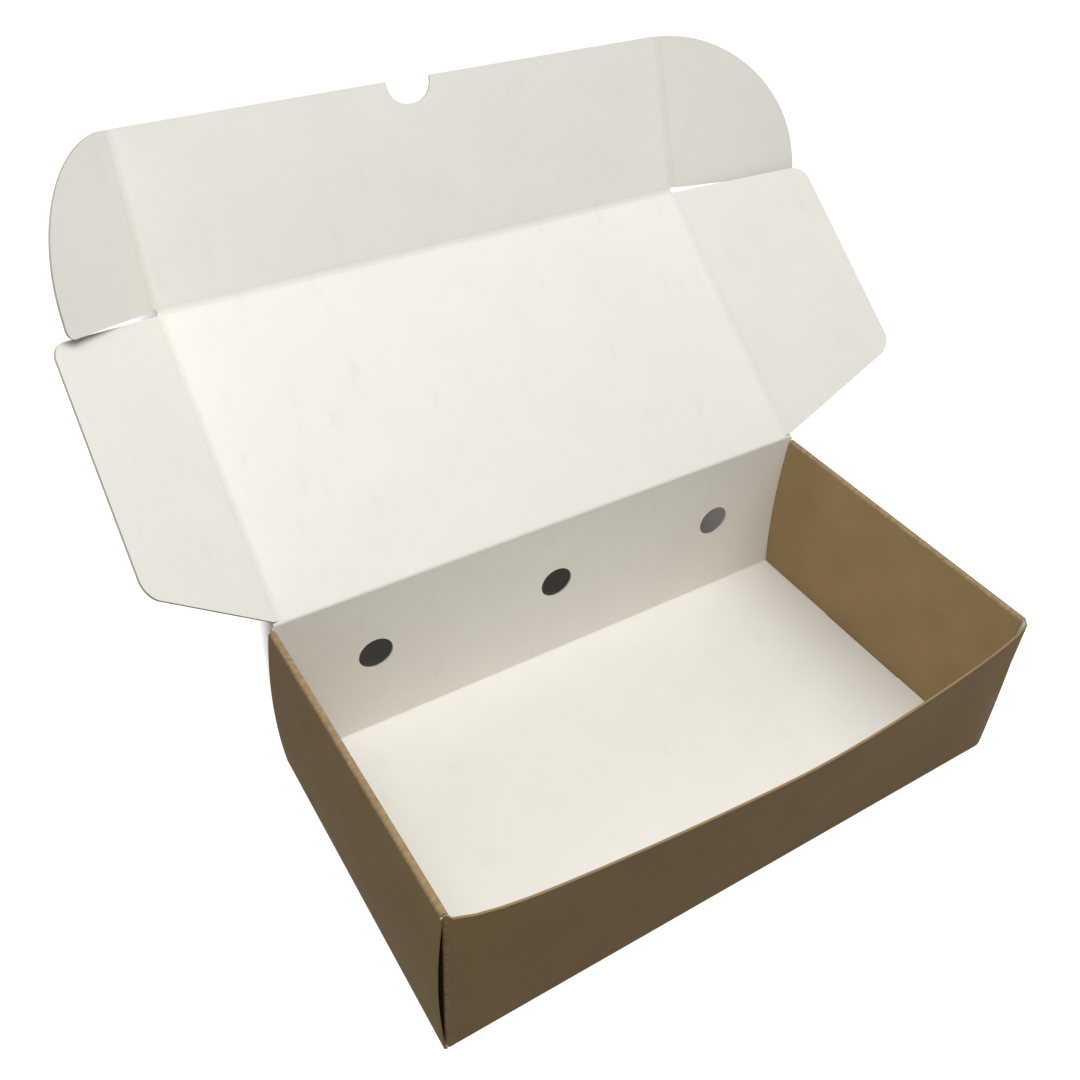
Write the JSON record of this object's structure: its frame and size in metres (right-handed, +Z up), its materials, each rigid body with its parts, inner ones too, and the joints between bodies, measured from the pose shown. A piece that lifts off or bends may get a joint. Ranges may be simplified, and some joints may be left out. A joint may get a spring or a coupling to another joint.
{
  "type": "takeaway food box",
  "caption": "Open takeaway food box folded from thin corrugated board, with rolled end walls, steam vents in the back wall and a hinged lid with side flaps and a notched tuck flap.",
  "frame": {"origin": "middle of the base, on the table", "axes": "+X along the width, to the right as seen from the front; +Y to the back wall and the lid's crease; +Z up"},
  "size_m": [0.4109, 0.3359, 0.271],
  "materials": {
    "tray_board": "matt, brown kraft outside",
    "lid_board": "matt, white lining inside"
  },
  "bodies": {
    "tray": {"tray": "tray_board"},
    "lid": {"lid_panel": "lid_board"},
    "flap_left": {"side_flap_left": "lid_board"},
    "flap_right": {"side_flap_right": "lid_board"},
    "tuck": {"tuck_flap": "lid_board"},
    "ear_left": {"tuck_ear_left": "lid_board"},
    "ear_right": {"tuck_ear_right": "lid_board"}
  },
  "joints": [
    {"name": "lid_fold", "type": "hinge", "parent": "tray", "child": "lid", "pos_m": [0, 0.083, 0.0922], "axis": [-1, 0, 0], "range_deg": [-112, 37.6]},
    {"name": "flap_left_fold", "type": "hinge", "parent": "lid", "child": "flap_left", "pos_m": [-0.1494, 0.14529, 0.1408], "axis": [0, 0.7923, 0.6101], "range_deg": [-39.9, 50.1]},
    {"name": "flap_right_fold", "type": "hinge", "parent": "lid", "child": "flap_right", "pos_m": [0.1494, 0.14529, 0.1408], "axis": [0, -0.7923, -0.6101], "range_deg": [-37.4, 52.6]},
    {"name": "tuck_fold", "type": "hinge", "parent": "lid", "child": "tuck", "pos_m": [0, 0.20788, 0.189], "axis": [1, 0, 0], "range_deg": [-33.3, 56.7]},
    {"name": "ear_left_fold", "type": "hinge", "parent": "tuck", "child": "ear_left", "pos_m": [-0.1506, 0.22162, 0.22869], "axis": [0, 0.3272, 0.9449], "range_deg": [-47.7, 42.3]},
    {"name": "ear_right_fold", "type": "hinge", "parent": "tuck", "child": "ear_right", "pos_m": [0.1506, 0.22162, 0.22869], "axis": [0, -0.3272, -0.9449], "range_deg": [-38, 52]}
  ],
  "couplings": [
    {"joint": "ear_left_fold", "follows": "tuck_fold", "ratio": 0.746},
    {"joint": "ear_right_fold", "follows": "tuck_fold", "ratio": 0.917}
  ]
}
